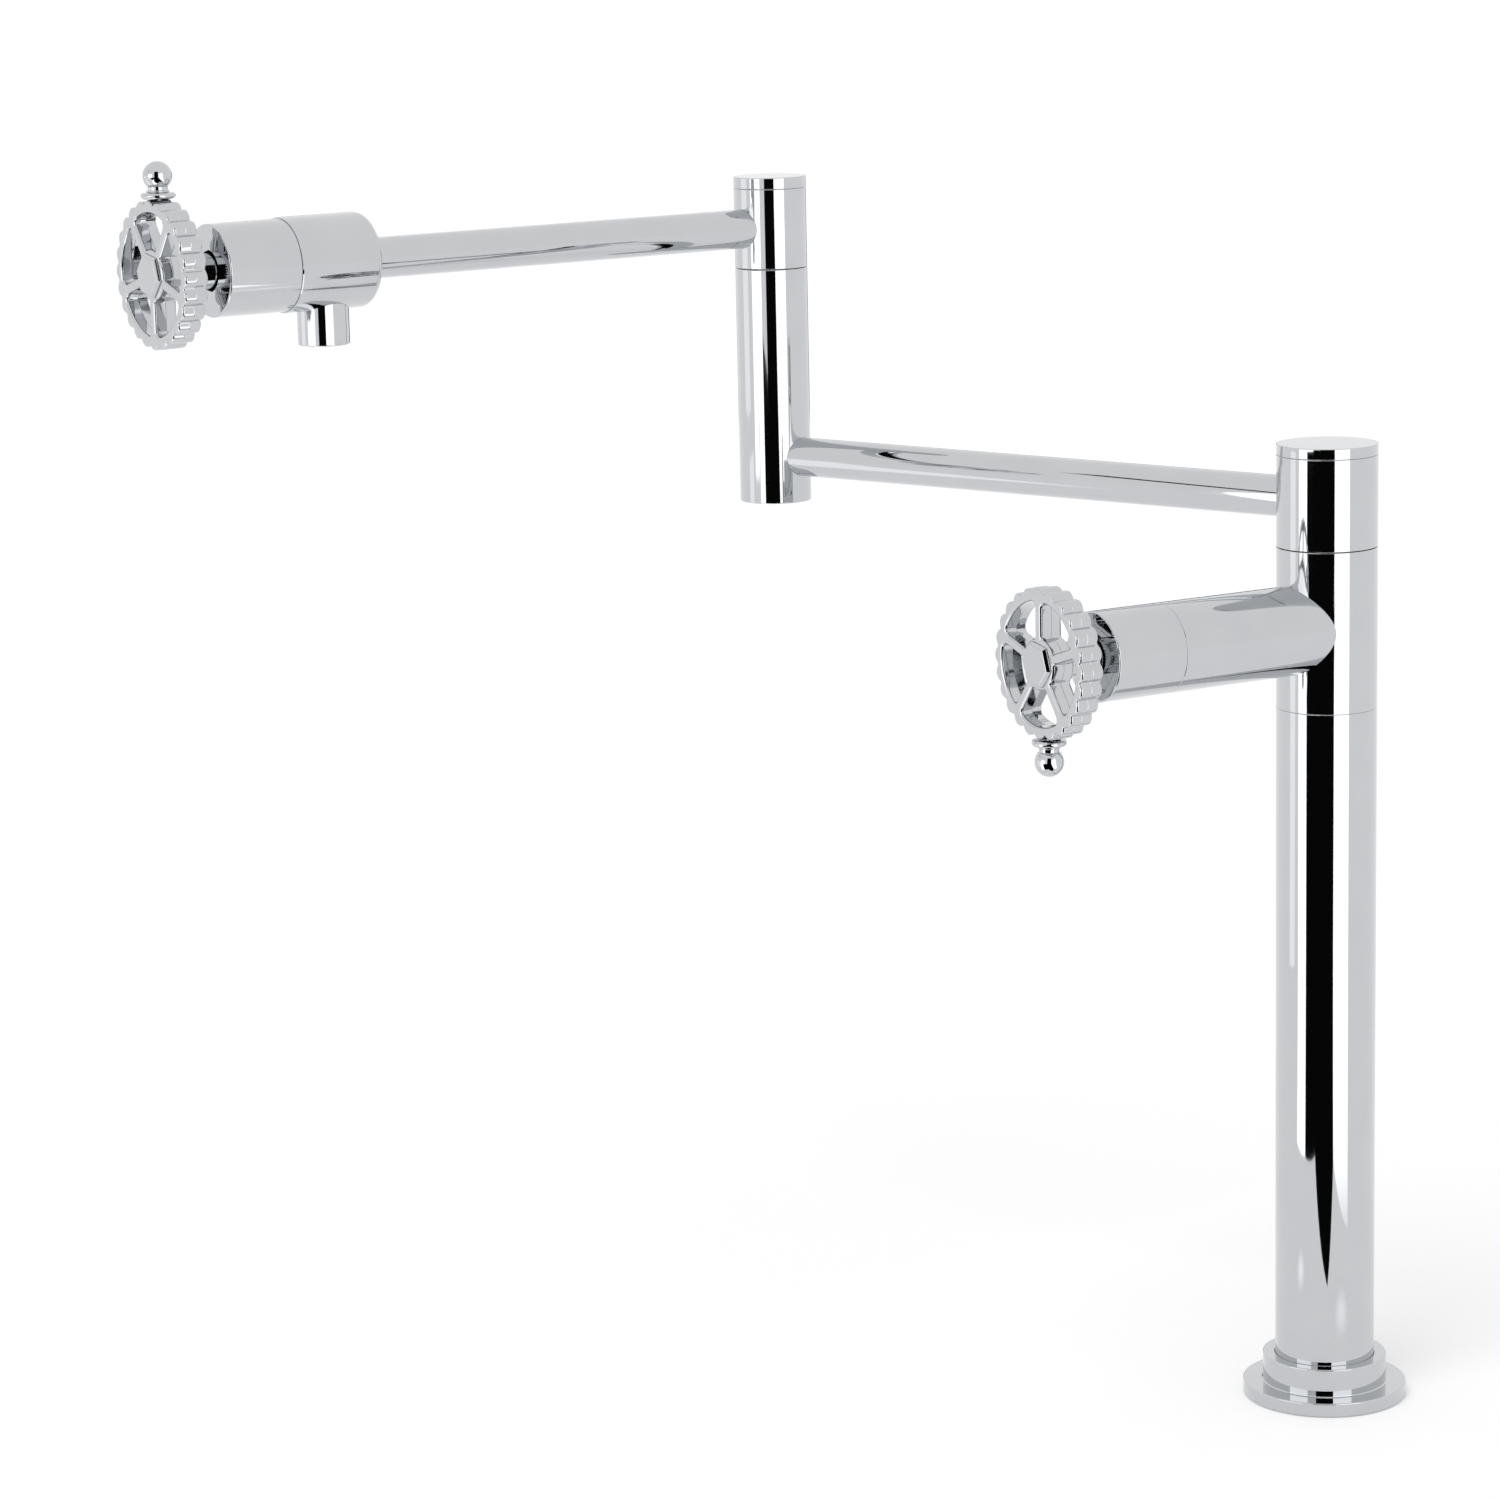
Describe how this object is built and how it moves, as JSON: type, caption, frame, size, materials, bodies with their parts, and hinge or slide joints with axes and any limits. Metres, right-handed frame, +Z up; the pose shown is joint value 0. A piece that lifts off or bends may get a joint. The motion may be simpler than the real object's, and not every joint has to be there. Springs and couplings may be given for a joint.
{
  "type": "deck mount pot filler",
  "caption": "Deck mount pot filler: a tall column on a round flange, level swivel arms joined by a post, a short spout, and cog-rimmed wheel handles on quarter-turn valves.",
  "frame": {"origin": "on the column's axis, at the underside of the base flange, where it stands on the deck", "axes": "+Z up along the column, +X to the right in the picture, and the picture is taken looking along +Y"},
  "size_m": [0.5084, 0.2834, 0.5845],
  "materials": {
    "chrome": "polished chrome plate on brass",
    "brass": "machined brass, unplated",
    "stainless": "drawn or stamped stainless steel",
    "acetal": "moulded acetal, matt",
    "ceramic": "lapped alumina ceramic",
    "rubber": "black nitrile rubber"
  },
  "bodies": {
    "column": {"base_flange": "chrome", "flange_gasket": "rubber", "column_tube": "chrome", "column_base_plug": "brass", "mounting_shank": "brass", "rubber_clamp_washer": "rubber", "steel_clamp_washer": "stainless", "deck_locknut": "brass", "supply_riser": "stainless", "riser_o_rings": "rubber", "tee_body": "chrome", "main_swivel_spigot": "brass", "main_swivel_o_rings": "rubber", "main_thrust_washer": "acetal", "main_retaining_ring": "stainless", "lower_seat_seal": "rubber", "lower_fixed_disc": "ceramic", "lower_cartridge_bonnet": "brass", "lower_bonnet_gasket": "rubber", "lower_valve_sleeve": "chrome"},
    "lower_arm": {"swivel_head": "chrome", "swivel_head_cap": "chrome", "lower_arm_tube": "chrome", "middle_post": "chrome", "middle_swivel_spigot": "brass", "middle_swivel_o_rings": "rubber", "middle_thrust_washer": "acetal", "middle_retaining_ring": "stainless"},
    "upper_arm": {"knuckle": "chrome", "knuckle_cap": "chrome", "upper_arm_tube": "chrome", "spout_body": "chrome", "spout_nozzle": "chrome", "stream_straightener": "acetal", "straightener_washer": "rubber", "upper_seat_seal": "rubber", "upper_fixed_disc": "ceramic", "upper_cartridge_bonnet": "brass", "upper_bonnet_gasket": "rubber", "upper_valve_sleeve": "chrome"},
    "lower_handle": {"lower_moving_disc": "ceramic", "lower_stem": "brass", "lower_stem_o_ring": "rubber", "lower_stem_clip": "stainless", "lower_hand_wheel": "chrome", "lower_handle_screw": "stainless", "lower_hub_cap": "chrome", "lower_finial": "chrome"},
    "upper_handle": {"upper_moving_disc": "ceramic", "upper_stem": "brass", "upper_stem_o_ring": "rubber", "upper_stem_clip": "stainless", "upper_hand_wheel": "chrome", "upper_handle_screw": "stainless", "upper_hub_cap": "chrome", "upper_finial": "chrome"}
  },
  "joints": [
    {"name": "column_swivel", "type": "hinge", "parent": "column", "child": "lower_arm", "pos_m": [0, 0, 0.3676], "axis": [0, 0, 1], "continuous": true},
    {"name": "post_swivel", "type": "hinge", "parent": "lower_arm", "child": "upper_arm", "pos_m": [-0.21561, 0.1715, 0.4653], "axis": [0, 0, 1], "continuous": true},
    {"name": "lower_valve_turn", "type": "hinge", "parent": "column", "child": "lower_handle", "pos_m": [-0.06969, -0.04187, 0.3171], "axis": [-0.8572, -0.515, 0], "range_deg": [0, 90]},
    {"name": "upper_valve_turn", "type": "hinge", "parent": "upper_arm", "child": "upper_handle", "pos_m": [-0.41152, 0.03636, 0.4653], "axis": [-0.8231, -0.5678, 0], "range_deg": [0, 90]}
  ]
}
